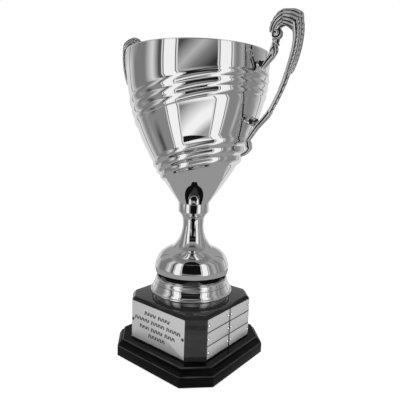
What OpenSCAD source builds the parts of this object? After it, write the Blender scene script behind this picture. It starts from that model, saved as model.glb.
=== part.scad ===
// Two-handled silver cup trophy on a stepped eight-sided black plinth.
// Millimetres, +Z up. The origin is the centre of the underside, and the front plaque faces -Y.
// The handles stand in the XZ plane, and the high side of the swirl bands faces +X.

/* [Plinth] */
// Width of the lower tier across its flats
base_w = 206; // [200:1:212]
// Width of the upper block across its flats
block_w = 161.2; // [158:0.2:164]
// Leg of the corner cut on the lower tier
base_cut = 35.4; // [33:0.1:38]
// Leg of the corner cut on the upper block
block_cut = 22.9; // [21:0.1:23.5]
// Height of the top of the lower tier above the table
tier_top = 29; // [28:0.5:30]
// Height of the top of the upper block above the table
block_top = 99.1; // [98.5:0.1:101]
// Width of the bevel around the top of the block
block_bevel = 5; // [3:0.5:5]
// Thickness of the felt under the plinth
felt_t = 1.5; // [1:0.5:2]

/* [Plaque and record plates] */
// Thickness of the engraved plaque and of the record plates
plate_t = 0.8; // [0.6:0.1:1.2]
// Height of the lower edge of the plaque and of the lowest record plates
plate_low = 31.3; // [31:0.1:32]
// Height of the front plaque
plaque_h = 62.8; // [58:0.2:62.8]
// Gap between record plates
plate_gap = 1.5; // [1:0.1:2.5]
// Columns of record plates on a face
plate_cols = 2; // [1:1:2]
// Rows of record plates on a face
plate_rows = 3; // [2:1:3]
// Radius of a pin's domed head
pin_head_r = 1.4; // [1.1:0.1:1.6]

/* [Foot and stem] */
// Radius of the bead around the foot
foot_r = 68; // [66:0.5:70]
// Height of the waist where the knop stands on the foot
waist_z = 131; // [130:0.5:133]
// Height where the stem stands on the knop
crease_z = 180.3; // [179:0.1:182]
// Radius of the narrowest part of the stem
neck_r = 17.4; // [16:0.1:20]
// Radius of the collar under the bowl
collar_r = 25.3; // [24.8:0.1:26]
// Wall of the spun metal parts
wall = 1.2; // [1:0.1:1.4]

/* [Bowl] */
// Height of the rim above the table
rim_z = 486; // [480:1:492]
// Radius of the rim
rim_r = 110.3; // [109:0.1:110.6]
// How far a ridge of the upper swirl band stands out
upper_rib = 2; // [2:0.1:2.8]
// How far a ridge of the lower swirl band stands out
lower_rib = 2.8; // [2.6:0.1:3.6]

/* [Handles] */
// Half thickness of a handle at its crest
crest_half = 7; // [6:0.5:8]
// Half thickness of a handle at its lower scroll
scroll_half = 3.4; // [3:0.2:4]

/* [Centre rod] */
// Radius of the centre rod
rod_r = 4; // [3.5:0.5:4]

/* [Hidden] */
$fn = 64;
SIDES = ["right", "back", "left"];
PLATES = plate_cols * plate_rows;

// Fits
rod_clear = 0.3;
screw_clear = 0.1;

// Plinth
base_half = base_w / 2;
block_half = block_w / 2;
ledge_inset = 7.6;
side_top = 17.6;
felt_inset = 3;
nut_recess_r = 14;
nut_recess_top = 14;
wood_screw_r = 2.2;
wood_screw_head_r = 4.4;
wood_screw_head_h = 2.8;
wood_screw_at = 52;
wood_screw_top = 62;

// Plaque and plates: how far a face's metal reaches, and where its pins are
face_w = 2 * (block_half - block_cut) - 1;
plate_w = (face_w - (plate_cols - 1) * plate_gap) / plate_cols;
plate_h = (plaque_h - (plate_rows - 1) * plate_gap) / plate_rows;
pin_inset = 3.4;
pin_shank_r = 0.6;
pin_depth = 8;
pin_dome_h = 0.9;

// Heights of the metal stack
collar_low = 238;
bowl_low = 254;
bowl_floor = 3;
nut_h = 6.5;
nut_flats = 13;
washer_t = 1.6;
washer_r = 12;
rod_low = 4;
rod_top = 268;

// Profiles as [radius, height]
foot_curve = concat(
    [[foot_r - 6.2, block_top], [foot_r - 6.2, 103.6]],
    arc([foot_r - 2.6, 108.4], 2.6, -115, 75, 14),
    spline([[foot_r - 2.4, 111.9], [foot_r - 3.0, 114.0], [61.9, 119.5], [59.9, 125], [57.6, waist_z]], 5)
);
knop_curve = spline(
    [[57.6, waist_z], [59.7, 135.5], [60.9, 140.5], [61.4, 148.5], [59.7, 156.5], [56.0, 165],
     [50.0, 171.6], [41.8, 176.6], [33, crease_z]], 4);
stem_curve = spline(
    [[33, crease_z], [28.3, 185.6], [22.1, 195.6], [18.5, 207], [neck_r, 217], [18.2, 227.5],
     [20.6, 234], [24.2, collar_low]], 4);
collar_curve = concat(
    [[24.2, collar_low]], arc([collar_r - 2.5, 241], 2.5, -45, 0, 4),
    arc([collar_r - 1.5, 251], 1.5, 0, 60, 4), [[collar_r - 0.9, bowl_low]]);
bowl_curve = bezier([25.4, bowl_low], [41.4, 279.3], [rim_r + 6.1, rim_z - 121.6], [rim_r, rim_z], 40);
bowl_table = [for (p = bowl_curve) [p[1], p[0]]];

// Swirl bands: height at the axis and climb per millimetre towards +X, for the band's two edges.
// Each band holds three ridges.
upper_band = [[391, 0.307], [431.6, 0.229]];
lower_band = [[301.5, 0.276], [335, 0.333]];
ribs_per_band = 3;

// Handle, as [x, z, half width in its own plane]
leg_path = [[117.2, 457, 1.8], [120.8, 461.5, 2.8], [126, 467.5, 3.4], [131, 473.2, 3.8],
    [133, 480, 4.5], [134.4, 486, 3.4], [135.8, 492, 3], [135.6, 497, 3.4]];
arm_path = [[135, 500, 5.6], [134.9, 508, 6.0], [139.3, 515.6, 7.8], [147.6, 519.2, 9.6],
    [156.4, 517.4, 10], [163.2, 510.4, 8.8], [166.6, 500, 7], [167, 488, 5.5], [165.2, 476.5, 5.2],
    [161.6, 463.5, 4.8], [157.2, 451.5, 4], [152.3, 440.5, 3.3], [146.8, 428.5, 3],
    [140.2, 415.5, 2.9], [132.6, 403.6, 2.9], [128.2, 397, 3.2], [120.3, 387.6, 2.8],
    [112.4, 378, 2.4], [104.8, 368.5, 2.2], [98.6, 359.4, 2.2]];
scroll_path = [[98.6, 359.4, 2.2], [98.2, 355.2, 3.2], [99.7, 350.2, 4.6], [100.4, 345.2, 3.2],
    [96.6, 340.6, 1.9], [92, 337.4, 1.7], [88.8, 335.4, 1.3]];
leg_half = 4.2;
rosette = [134.9, 500.4, 6.5];
knot = [135.1, 489.4, 4.3];
boss_r = 4.4;
branch_r = 3.4;
branch_balls = [[104, 388.4], [108.6, 386.2], [106.4, 379.6], [112.4, 382.2]];

// Handle mounts: height, faces of the pad through the bowl wall, and end of the screw
upper_mount = [463.6, 108.2, 112.3, 121];
lower_mount = [384.3, 93.4, 101, 111];
MOUNTS = [upper_mount, lower_mount];
pad_r = 5.2;
screw_r = 1.5;
screw_head_r = 3.6;
screw_head_h = 2.4;
screw_washer_r = 4.6;
screw_washer_t = 0.8;

// ---------- curves ----------

function bezier(a, b, c, d, steps) =
    [for (i = [0:steps]) let (t = i / steps, u = 1 - t)
        u * u * u * a + 3 * u * u * t * b + 3 * u * t * t * c + t * t * t * d];

function blend(a, b, c, d, t) =
    0.5 * (2 * b + (c - a) * t + (2 * a - 5 * b + 4 * c - d) * t * t + (3 * b - a - 3 * c + d) * t * t * t);

// Smooth curve through every point, with steps pieces between neighbours
function spline(points, steps) =
    let (last = len(points) - 1)
    concat(
        [for (i = [0:last - 1]) for (k = [0:steps - 1])
            blend(points[max(i - 1, 0)], points[i], points[i + 1], points[min(i + 2, last)], k / steps)],
        [points[last]]
    );

function arc(centre, r, from, to, steps) =
    [for (i = [0:steps]) let (a = from + (to - from) * i / steps)
        [centre[0] + r * cos(a), centre[1] + r * sin(a)]];

function flat(p) = [p[0], p[1]];

// Unit normal to the left of a curve at point i
function side_of(curve, i) =
    let (a = flat(curve[max(i - 1, 0)]), b = flat(curve[min(i + 1, len(curve) - 1)]), d = (b - a) / norm(b - a))
    [-d[1], d[0]];

function shifted(curve, by) = [for (i = [0:len(curve) - 1]) flat(curve[i]) + by * side_of(curve, i)];

// Closed outline of a ribbon whose half width is each point's third value
function ribbon(curve) =
    concat(
        [for (i = [0:len(curve) - 1]) flat(curve[i]) + curve[i][2] * side_of(curve, i)],
        [for (i = [len(curve) - 1:-1:0]) flat(curve[i]) - curve[i][2] * side_of(curve, i)]
    );

function bowl_r(z) = lookup(z, bowl_table);

// Distance from the axis at which the plane z = at + climb * x meets the bowl, on the +X or -X side
function reach(at, climb, way, r = 80, left = 12) =
    left == 0 ? r : reach(at, climb, way, bowl_r(at + climb * way * r), left - 1);

// ---------- shared shapes ----------

// A block whose straight and corner faces all follow one profile of [inset, height]
module moulded_octagon(half, cut, profile) {
    corner = (2 * half - cut) / sqrt(2);
    intersection() {
        slab(half, profile);
        rotate([0, 0, 90]) slab(half, profile);
        rotate([0, 0, 45]) slab(corner, profile);
        rotate([0, 0, -45]) slab(corner, profile);
    }
}

module slab(half, profile) {
    right = [for (p = profile) [half - p[0], p[1]]];
    left = [for (i = [len(profile) - 1:-1:0]) [profile[i][0] - half, profile[i][1]]];
    rotate([90, 0, 0]) linear_extrude(height = 4 * half, center = true) polygon(concat(right, left));
}

// A spun shell: outer curve, open below, with a web of the given thickness at the top and a rod hole
module spun_shell(curve, web) {
    low = curve[0][1];
    high = curve[len(curve) - 1][1];
    inner = [for (p = shifted(curve, wall)) [p[0], min(max(p[1], low - 1), high - web)]];
    last = inner[len(inner) - 1];
    difference() {
        rotate_extrude() polygon(concat([[0, low]], curve, [[0, high]]));
        rotate_extrude() polygon(concat(
            [[0, low - 1], [inner[0][0], low - 1]],
            [for (p = inner) if (p[1] > low && p[1] < high - web) p],
            [[last[0], high - web], [0, high - web]]));
        translate([0, 0, low - 1]) cylinder(r = rod_r + rod_clear, h = high - low + 2);
    }
}

module hex_nut(z) {
    difference() {
        translate([0, 0, z]) cylinder(r = nut_flats / sqrt(3), h = nut_h, $fn = 6);
        translate([0, 0, z - 1]) cylinder(r = rod_r + screw_clear / 2, h = nut_h + 2);
    }
}

module rod_washer(z) {
    difference() {
        translate([0, 0, z]) cylinder(r = washer_r, h = washer_t);
        translate([0, 0, z - 1]) cylinder(r = rod_r + rod_clear, h = washer_t + 2);
    }
}

// A cylinder along X
module x_bar(from, to, r, z) {
    translate([from, 0, z]) rotate([0, 90, 0]) cylinder(r = r, h = to - from);
}

// Puts a face's own pieces, drawn on the -Y face, on any side of the plinth
module on_side(side) {
    turn = side == "right" ? 90 : side == "back" ? 180 : side == "left" ? 270 : 0;
    rotate([0, 0, turn]) children();
}

// A pin hole or shank square to the -Y face
module pin_bar(x, z, r, out, depth) {
    translate([x, -block_half + depth, z]) rotate([90, 0, 0]) cylinder(r = r, h = depth + out, $fn = 24);
}

module pin(x, z) {
    pin_bar(x, z, pin_shank_r, plate_t, pin_depth);
    translate([x, -block_half - plate_t, z]) rotate([90, 0, 0]) intersection() {
        cylinder(r = pin_head_r, h = pin_dome_h, $fn = 24);
        dome = (pin_head_r * pin_head_r + pin_dome_h * pin_dome_h) / (2 * pin_dome_h);
        translate([0, 0, pin_dome_h - dome]) sphere(r = dome, $fn = 48);
    }
}

// Centre of record plate n, counted by rows from the top left, as [x, z] on its face
function plate_centre(n) =
    let (col = (n - 1) % plate_cols, row = floor((n - 1) / plate_cols))
    [(col - (plate_cols - 1) / 2) * (plate_w + plate_gap),
     plate_low + plaque_h - plate_h / 2 - row * (plate_h + plate_gap)];

function pin_places(centre, w) = [for (s = [-1, 1]) [centre[0] + s * (w / 2 - pin_inset), centre[1]]];

function side_pins() = [for (n = [1:PLATES]) for (p = pin_places(plate_centre(n), plate_w)) p];

function plaque_pin_places() = pin_places([0, plate_low + plaque_h / 2], face_w);

module plate(centre, w, h) {
    difference() {
        translate([centre[0] - w / 2, -block_half - plate_t, centre[1] - h / 2]) cube([w, plate_t, h]);
        for (p = pin_places(centre, w)) pin_bar(p[0], p[1], pin_shank_r + screw_clear / 2, plate_t + 1, 1);
    }
}

// ---------- plinth ----------

module felt_pad() {
    color("darkgreen")
        moulded_octagon(base_half - felt_inset, base_cut, [[0, 0], [0, felt_t]]);
}

module wood_screw_holes(clear) {
    for (x = [-1, 1]) for (y = [-1, 1]) translate([x * wood_screw_at, y * wood_screw_at, 0]) wood_screw(clear);
}

module wood_screw(clear) {
    low = felt_t + 0.2 - clear * 2;
    translate([0, 0, low]) cylinder(r = wood_screw_r + clear, h = wood_screw_top - low + clear);
    translate([0, 0, low])
        cylinder(r1 = wood_screw_head_r + clear, r2 = wood_screw_r + clear, h = wood_screw_head_h + clear * 2);
}

module plinth_base() {
    cove = arc([ledge_inset, side_top + 0.8], 6, 180, 90, 6);
    profile = concat(
        [[0.8, felt_t], [0, felt_t + 0.8], [0, side_top], [1.6, side_top + 0.8]],
        [for (p = cove) p],
        [[ledge_inset, tier_top - 1.4], [ledge_inset + 1.4, tier_top]]);
    color([0.09, 0.09, 0.09]) difference() {
        moulded_octagon(base_half, base_cut, profile);
        translate([0, 0, -1]) cylinder(r = nut_recess_r, h = nut_recess_top + 1);
        cylinder(r = rod_r + rod_clear, h = tier_top + 1);
        wood_screw_holes(screw_clear);
    }
}

module plinth_block() {
    color([0.14, 0.14, 0.14]) difference() {
        moulded_octagon(block_half, block_cut,
            [[0, tier_top], [0, block_top - block_bevel], [block_bevel, block_top]]);
        cylinder(r = rod_r + rod_clear, h = block_top + 1);
        wood_screw_holes(screw_clear);
        for (p = plaque_pin_places()) pin_bar(p[0], p[1], pin_shank_r + screw_clear / 2, 1, pin_depth + 1);
        for (side = SIDES) on_side(side)
            for (p = side_pins()) pin_bar(p[0], p[1], pin_shank_r + screw_clear / 2, 1, pin_depth + 1);
    }
}

module base_screws() {
    color("dimgray")
        for (x = [-1, 1]) for (y = [-1, 1]) translate([x * wood_screw_at, y * wood_screw_at, 0]) wood_screw(0);
}

module plaque() {
    color([0.72, 0.72, 0.72]) plate([0, plate_low + plaque_h / 2], face_w, plaque_h);
}

module plaque_pins() {
    color("dimgray") for (p = plaque_pin_places()) pin(p[0], p[1]);
}

module record_plate(side, n) {
    color([0.75, 0.75, 0.75]) on_side(side) plate(plate_centre(n), plate_w, plate_h);
}

module plate_pins(side) {
    color("white") on_side(side) for (p = side_pins()) pin(p[0], p[1]);
}

// ---------- metal stack ----------

module foot() {
    color("silver") spun_shell(foot_curve, wall);
}

module knop() {
    color("gainsboro") spun_shell(knop_curve, wall);
}

module stem() {
    color("silver") spun_shell(stem_curve, 0);
}

module collar() {
    color("gainsboro") difference() {
        rotate_extrude() polygon(concat([[0, collar_low]], collar_curve, [[0, bowl_low]]));
        translate([0, 0, collar_low - 1]) cylinder(r = rod_r + rod_clear, h = bowl_low - collar_low + 2);
    }
}

module centre_rod() {
    color("dimgray") translate([0, 0, rod_low]) cylinder(r = rod_r, h = rod_top - rod_low);
}

module rod_washer_lower() { color("gray") rod_washer(nut_recess_top - washer_t); }
module rod_nut_lower() { color("gray") hex_nut(nut_recess_top - washer_t - nut_h); }
module rod_washer_upper() { color("gray") rod_washer(bowl_low + bowl_floor); }
module rod_nut_upper() { color("gray") hex_nut(bowl_low + bowl_floor + washer_t); }

// ---------- bowl ----------

// One ridge: a tilted ring that follows the line where the plane z = at + climb * x meets the bowl
module rib(at, climb, height, rise) {
    near = reach(at, climb, -1);
    far = reach(at, climb, 1);
    slant = sqrt(1 + climb * climb);
    tube = (rise * rise / 4 + height * height) / (2 * height);
    middle = (far - near) / 2;
    translate([middle, 0, at + climb * middle]) rotate([0, -atan(climb), 0])
        rotate_extrude() translate([(far + near) / 2 * slant - tube + height, 0]) circle(r = tube);
}

module swirl_band(band, height) {
    for (i = [0:ribs_per_band - 1]) {
        u = (i + 0.5) / ribs_per_band;
        at = band[0][0] + u * (band[1][0] - band[0][0]);
        climb = band[0][1] + u * (band[1][1] - band[0][1]);
        rib(at, climb, height, (band[1][0] - band[0][0]) / ribs_per_band);
    }
}

module bowl() {
    cavity = [for (p = shifted(bowl_curve, wall)) if (p[1] > bowl_low + bowl_floor && p[1] < rim_z) p];
    last = len(cavity) - 1;
    color("silver") difference() {
        union() {
            difference() {
                union() {
                    rotate_extrude() polygon(concat([[0, bowl_low]], bowl_curve, [[0, rim_z]]));
                    swirl_band(upper_band, upper_rib);
                    swirl_band(lower_band, lower_rib);
                }
                rotate_extrude() polygon(concat(
                    [[0, bowl_low + bowl_floor], [cavity[0][0] - 1, bowl_low + bowl_floor]], cavity,
                    [[cavity[last][0], rim_z + 1], [0, rim_z + 1]]));
            }
            for (m = MOUNTS) for (turn = [0, 180]) rotate([0, 0, turn]) x_bar(m[1], m[2], pad_r, m[0]);
        }
        translate([0, 0, bowl_low - 1]) cylinder(r = rod_r + rod_clear, h = bowl_floor + 2);
        for (m = MOUNTS) for (turn = [0, 180]) rotate([0, 0, turn])
            x_bar(m[1] - 1, m[2] + 1, screw_r + rod_clear, m[0]);
    }
}

// ---------- handles ----------

// An outline in the handle's own plane, as thick as twice half
module upright(outline, half) {
    rotate([90, 0, 0]) linear_extrude(height = 2 * half, center = true) polygon(outline);
}

// How thick the arm is at each height
module arm_taper() {
    half = [[330, scroll_half], [375, scroll_half], [396, 4.2], [447, 5], [470, 5.8], [496, crest_half],
        [540, crest_half]];
    right = [for (p = half) [p[1], p[0]]];
    left = [for (i = [len(half) - 1:-1:0]) [-half[i][1], half[i][0]]];
    rotate([90, 0, 90]) linear_extrude(height = 200) polygon(concat(right, left));
}

module handle() {
    color("darkgray") difference() {
        union() {
            intersection() {
                union() {
                    upright(ribbon(spline(arm_path, 3)), crest_half);
                    upright(ribbon(spline(scroll_path, 3)), crest_half);
                }
                arm_taper();
            }
            upright(ribbon(spline(leg_path, 3)), leg_half);
            translate([rosette[0], 0, rosette[1]]) rotate([90, 0, 0])
                cylinder(r = rosette[2], h = 2 * crest_half + 1, center = true);
            translate([knot[0], 0, knot[1]]) sphere(r = knot[2]);
            x_bar(upper_mount[2], upper_mount[3] + 1.6, boss_r, upper_mount[0]);
            x_bar(lower_mount[2], lower_mount[3] + 2, boss_r, lower_mount[0]);
            for (b = branch_balls) translate([b[0] + 0.6, 0, b[1]]) sphere(r = branch_r);
        }
        for (m = MOUNTS) x_bar(m[2] - 1, m[3], screw_r, m[0]);
        x_bar(lower_mount[2] - 10, lower_mount[2], pad_r + 4, lower_mount[0]);
    }
}

module handle_right() { handle(); }
module handle_left() { mirror([1, 0, 0]) handle(); }

module handle_washers() {
    color("gray") for (m = MOUNTS) for (turn = [0, 180]) rotate([0, 0, turn]) difference() {
        x_bar(m[1] - screw_washer_t, m[1], screw_washer_r, m[0]);
        x_bar(m[1] - screw_washer_t - 1, m[1] + 1, screw_r + rod_clear, m[0]);
    }
}

module handle_screws() {
    color("gray") for (m = MOUNTS) for (turn = [0, 180]) rotate([0, 0, turn]) {
        head = m[1] - screw_washer_t;
        x_bar(head - screw_head_h, head, screw_head_r, m[0]);
        x_bar(head - 1, m[3] - 1, screw_r - screw_clear / 2, m[0]);
    }
}

// ---------- nodes ----------

felt_pad();
plinth_base();
plinth_block();
base_screws();
rod_washer_lower();
rod_nut_lower();
centre_rod();
foot();
knop();
stem();
collar();
bowl();
rod_washer_upper();
rod_nut_upper();
handle_left();
handle_right();
handle_washers();
handle_screws();
plaque();
plaque_pins();
for (side = SIDES) for (n = [1:PLATES])
    record_plate(side, n);
for (side = SIDES)
    plate_pins(side);
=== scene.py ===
"""Looks of a two-handled silver cup trophy on a stepped black plinth, built around its CAD frame.

Axes: +Z up, the front plaque faces -Y, the handles lie along X. Lengths are written in millimetres and
turned into metres with MM.
"""

import math

import bmesh
import bpy
from mathutils import Matrix, Vector


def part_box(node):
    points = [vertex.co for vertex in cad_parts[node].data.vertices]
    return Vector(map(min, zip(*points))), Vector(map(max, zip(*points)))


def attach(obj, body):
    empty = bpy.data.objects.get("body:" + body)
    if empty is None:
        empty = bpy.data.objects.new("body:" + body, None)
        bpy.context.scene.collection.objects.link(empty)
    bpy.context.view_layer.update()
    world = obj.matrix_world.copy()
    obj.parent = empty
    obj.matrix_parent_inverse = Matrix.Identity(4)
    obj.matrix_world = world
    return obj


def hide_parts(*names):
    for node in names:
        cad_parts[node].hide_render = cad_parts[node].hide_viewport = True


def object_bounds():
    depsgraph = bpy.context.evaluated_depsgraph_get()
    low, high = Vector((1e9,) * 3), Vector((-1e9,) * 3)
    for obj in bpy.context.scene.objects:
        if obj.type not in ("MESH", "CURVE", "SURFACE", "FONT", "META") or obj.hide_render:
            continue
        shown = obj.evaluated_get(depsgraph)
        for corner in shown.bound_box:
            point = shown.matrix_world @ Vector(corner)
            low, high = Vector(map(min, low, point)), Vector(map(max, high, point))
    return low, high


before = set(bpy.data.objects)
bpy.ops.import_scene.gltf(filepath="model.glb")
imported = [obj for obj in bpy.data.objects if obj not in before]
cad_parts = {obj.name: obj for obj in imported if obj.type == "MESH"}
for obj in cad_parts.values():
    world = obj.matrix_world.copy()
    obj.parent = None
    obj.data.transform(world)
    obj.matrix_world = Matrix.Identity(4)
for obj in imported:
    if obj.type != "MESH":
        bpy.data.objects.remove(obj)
cad_lo, cad_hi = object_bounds()

MM = 0.001
SIDES = {"front": 0, "right": 90, "back": 180, "left": 270}  # turn about Z from the -Y face, in degrees
RECORD_SIDES = ("right", "back", "left")

# Spun metal: [radius, height above the part's own lower edge]
WALL = 1.2
ROD_HOLE = 4.3
FOOT_LOW = [(61.8, 0), (61.8, 4.5)]
FOOT_BEAD = (65.4, 9.3, 2.6)  # radius of its centre, its height, its own radius
FOOT_HIGH = [(65.6, 12.8), (65, 14.6), (62.9, 18.4), (61.5, 21.6)]
FOOT_TOP = [
    (61.3, 22.2), (61.5, 23), (61.3, 23.9), (60.7, 24.8), (60.4, 25.6), (60.1, 27.6), (59.6, 29.4),
    (58.5, 30.8), (57.3, 31.5),
]  # fmt: skip
KNOP = [
    (56.6, -0.4), (57.4, 0.6), (58.2, 2.2), (60.3, 9), (61.1, 13), (61.5, 17), (61.5, 19.5), (60.9, 22.5),
    (59.5, 26.5), (56, 34), (50, 40.6), (41.8, 45.6), (33, 49.3),
]  # fmt: skip
STEM = [
    (33, 0), (28.3, 5.3), (22.1, 15.3), (18.5, 26.7), (17.4, 36.7), (18.2, 47.2), (20.6, 53.7), (24.2, 57.7),
]  # fmt: skip
COLLAR_R = 25.3
COLLAR_LOW_ROUND = 2
COLLAR_TOP_ROUND = 1.4
COLLAR_FLAT = 0.2  # from the end of a rounded edge to the flat face

# Bowl: control points of its outline
BOWL = [(25.4, 0), (41.4, 25.3), (116.4, 110.4), (110.3, 232)]
BOWL_SEAT_R = 24.6
BOWL_FLOOR = 3
FLOOR_ROUND = 0.8  # how far above its floor the inside of the wall stops
FLOOR_CORNER = 0.2  # from both wall and floor to the corner between them
FLOOR_FLAT = 1.5  # from the wall to where the floor is flat
RIM_BEAD = 0.85
RIM_BEAD_INSET = 0.35
BEAD_STEPS = 12
# Swirl bands: [height of an edge at the front, how much it climbs to +X], and how far a ridge stands out
RIDGES = 3
VALLEY_SOFTNESS = 0.2
PRESSED_THROUGH = 0.9  # share of a ridge that shows on the inside
LOWER_BAND = {"bottom": (47.5, 18.8), "top": (81, 27), "height": 2.5}
UPPER_BAND = {"bottom": (137, 30), "top": (177.6, 24.5), "height": 1.75}

# Plinth: how much is cut off the corners of each tier, and how its edges are broken
BASE_CUT = 35.4
BLOCK_CUT = 22.9
BLOCK_BEVEL = 5
CORNER_ROUND = 1.0
CORNER_STEPS = 4

# Plates and pins. PLATE_TRIM narrows the record plates, to leave a dark line between the columns.
PLATE_TRIM = 0.6
PLATE_CORNER = 0.7
PLATE_EDGE = [(0.12, 0.25), (0.2, 0.08), (0.35, 0)]  # [inset from the outline, depth under the face]
PIN_INSET = 3.4
PIN_R = 1.75
PIN_DOME = 0.9
PIN_SHADOW_RING = [(-0.1, 2.6), (0.1, 2.6), (0.15, 0.5)]  # the dark ring under a pin's head, a painted shadow, as [height, radius]
ROOT_DEPTH = 0.1  # how deep the engraving is rooted in its plaque

# Camera
CAMERA_AZIMUTH = 39.674
CAMERA_DISTANCE = 656.3
CAMERA_HEIGHT = 356.3
CAMERA_PAN = -0.873
CAMERA_PITCH = -8.516
CAMERA_ROLL = 1.897
CAMERA_LENS = 36.36


# ---------- curves ----------


def lerp(a, b, t):
    return a + (b - a) * t


def circle(count):
    """Angles all the way round."""
    return [2 * math.pi * k / count for k in range(count)]


def catmull(p, q, r, s, t):
    """The value between q and r at t, from 0 to 1, on a smooth curve through all four."""
    return 0.5 * (2 * q + (r - p) * t + (2 * p - 5 * q + 4 * r - s) * t**2 + (3 * q - p - 3 * r + s) * t**3)


def spline(points, steps):
    """A smooth curve through every point, with steps pieces between neighbours."""
    out = []
    last = len(points) - 1
    for i in range(last):
        near = [points[k] for k in (max(i - 1, 0), i, i + 1, min(i + 2, last))]
        for k in range(steps):
            out.append(tuple(catmull(*values, k / steps) for values in zip(*near)))
    out.append(tuple(points[last]))
    return out


def arc(centre, radius, start, stop, steps):
    """Points on a circle, with angles in degrees."""
    angles = [math.radians(lerp(start, stop, k / steps)) for k in range(steps + 1)]
    return [(centre[0] + radius * math.cos(a), centre[1] + radius * math.sin(a)) for a in angles]


def bezier(points, t):
    a, b, c, d = points
    u = 1 - t
    return tuple(u**3 * a[k] + 3 * u * u * t * b[k] + 3 * u * t * t * c[k] + t**3 * d[k] for k in (0, 1))


def offset(curve, by):
    """The curve moved to its left by a distance."""
    out = []
    for i, p in enumerate(curve):
        a, b = curve[max(i - 1, 0)], curve[min(i + 1, len(curve) - 1)]
        dx, dy = b[0] - a[0], b[1] - a[1]
        n = math.hypot(dx, dy) or 1
        out.append((p[0] - by * dy / n, p[1] + by * dx / n))
    return out


# ---------- meshes ----------


def put_in(name, data):
    """A new object in the scene."""
    thing = bpy.data.objects.new(name, data)
    bpy.context.collection.objects.link(thing)
    return thing


def mesh_from(bm, name, materials):
    mesh = bpy.data.meshes.new(name)
    bm.to_mesh(mesh)
    bm.free()
    for material in materials:
        mesh.materials.append(material)
    return mesh


def piece_from(bm, name, materials, replaced=(), sharp=35):
    """Turns a bmesh in millimetres into a finished piece of the trophy."""
    bmesh.ops.remove_doubles(bm, verts=bm.verts, dist=1e-4)
    bmesh.ops.recalc_face_normals(bm, faces=bm.faces)
    bmesh.ops.scale(bm, vec=(MM, MM, MM), verts=bm.verts)
    mesh = mesh_from(bm, name, materials)
    for face in mesh.polygons:
        face.use_smooth = True
    mesh.set_sharp_from_angle(angle=math.radians(sharp))
    piece = put_in(name, mesh)
    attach(piece, "root")
    if replaced:
        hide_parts(*replaced)


def grid(bm, rows, close_rows=False, close_cols=False, material=None):
    """Faces between rows of vertices. material(row, col) gives a face's material number."""
    count = len(rows)
    for i in range(count if close_rows else count - 1):
        a, b = rows[i], rows[(i + 1) % count]
        width = len(a)
        for j in range(width if close_cols else width - 1):
            k = (j + 1) % width
            face = bm.faces.new((a[j], a[k], b[k], b[j]))
            if material:
                face.material_index = material(i, j)


def capped(bm, rows, material=None):
    """A closed body: faces between rings of vertices, and one over each end."""
    grid(bm, rows, close_cols=True, material=material)
    bm.faces.new(rows[0])
    bm.faces.new(rows[-1])


def lathe(bm, loop, base, turns=192):
    """A closed outline of [radius, height over base] spun about Z."""
    rows = []
    for r, z in loop:
        rows.append([bm.verts.new((r * math.cos(a), r * math.sin(a), z + base)) for a in circle(turns)])
    grid(bm, rows, close_rows=True, close_cols=True)


def shell(curve):
    """A closed outline from an outer curve and its inner wall."""
    return curve + offset(curve, WALL)[::-1]


def box_mm(node):
    lo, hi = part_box(node)
    return lo / MM, hi / MM


# ---------- materials ----------


NOISE_RANGE = (0.3, 0.7)  # where most of a noise's values lie


class Nodes:
    """Adds nodes to self.tree, a shader tree."""

    def node(self, kind, **inputs):
        """A new node with some of its inputs given. In their names, _ stands for a space."""
        node = self.tree.nodes.new(f"ShaderNode{kind}")
        for socket, value in inputs.items():
            self.feed(node, socket.replace("_", " "), value)
        return node

    def feed(self, node, socket, value):
        """Gives a node's input a number or a colour, or joins it to another node's output."""
        if isinstance(value, (int, float, tuple)):
            node.inputs[socket].default_value = value
        else:
            self.tree.links.new(value, node.inputs[socket])

    def rescale(self, value, old, new=(0.0, 1.0)):
        """A value with its old range, as (low, high), turned into a new one."""
        ends = dict(zip(("From_Min", "From_Max", "To_Min", "To_Max"), old + new))
        return self.node("MapRange", Value=value, **ends).outputs["Result"]


class Look(Nodes):
    """A procedural material: a Principled shader with noise in the object's own space."""

    def __init__(self, name, **uniform):
        self.material = bpy.data.materials.new(name)
        self.material.use_nodes = True
        self.tree = self.material.node_tree
        self.shader = self.tree.nodes["Principled BSDF"]
        for socket, value in uniform.items():
            self.feed(self.shader, socket.replace("_", " "), value)
        self.place = self.node("TexCoord").outputs["Object"]

    def noise(self, scale, stretch=(1, 1, 1), detail=3.0):
        vector = self.node("Mapping", Vector=self.place, Scale=stretch).outputs["Vector"]
        return self.node("TexNoise", Vector=vector, Scale=scale, Detail=detail).outputs["Fac"]

    def colour(self, fac, dark, light):
        """Base colour that wanders from dark to light with fac."""
        ramp = self.node("ValToRGB", Fac=fac)
        for stop, place, colour in zip(ramp.color_ramp.elements, NOISE_RANGE, (dark, light)):
            stop.position = place
            stop.color = (*colour, 1)
        self.feed(self.shader, "Base Color", ramp.outputs["Color"])
        return self

    def roughness(self, fac, low, high):
        """Roughness that goes from low to high with fac."""
        self.feed(self.shader, "Roughness", self.rescale(fac, NOISE_RANGE, (low, high)))
        return self

    def bump(self, fac, strength, distance):
        bump = self.node("Bump", Height=fac, Strength=strength, Distance=distance)
        self.feed(self.shader, "Normal", bump.outputs["Normal"])
        return self


def mono(level):
    return (level, level, level)


def plain(name, scale, tones, rough, stretch=(1, 1, 1), **uniform):
    """A material whose grey and roughness follow one noise."""
    look = Look(name, **uniform)
    cloud = look.noise(scale, stretch)
    return look.colour(cloud, *map(mono, tones)).roughness(cloud, *rough).material


def casting(name, metallic, tone_scale, grain_scale, tones, rough, bump):
    """Metal that is a little rough from casting. bump is its [strength, depth in metres]."""
    look = Look(name, Metallic=metallic)
    grain = look.noise(grain_scale, detail=2)
    look.colour(look.noise(tone_scale), *map(mono, tones)).roughness(grain, *rough)
    return look.bump(grain, *bump).material


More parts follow.
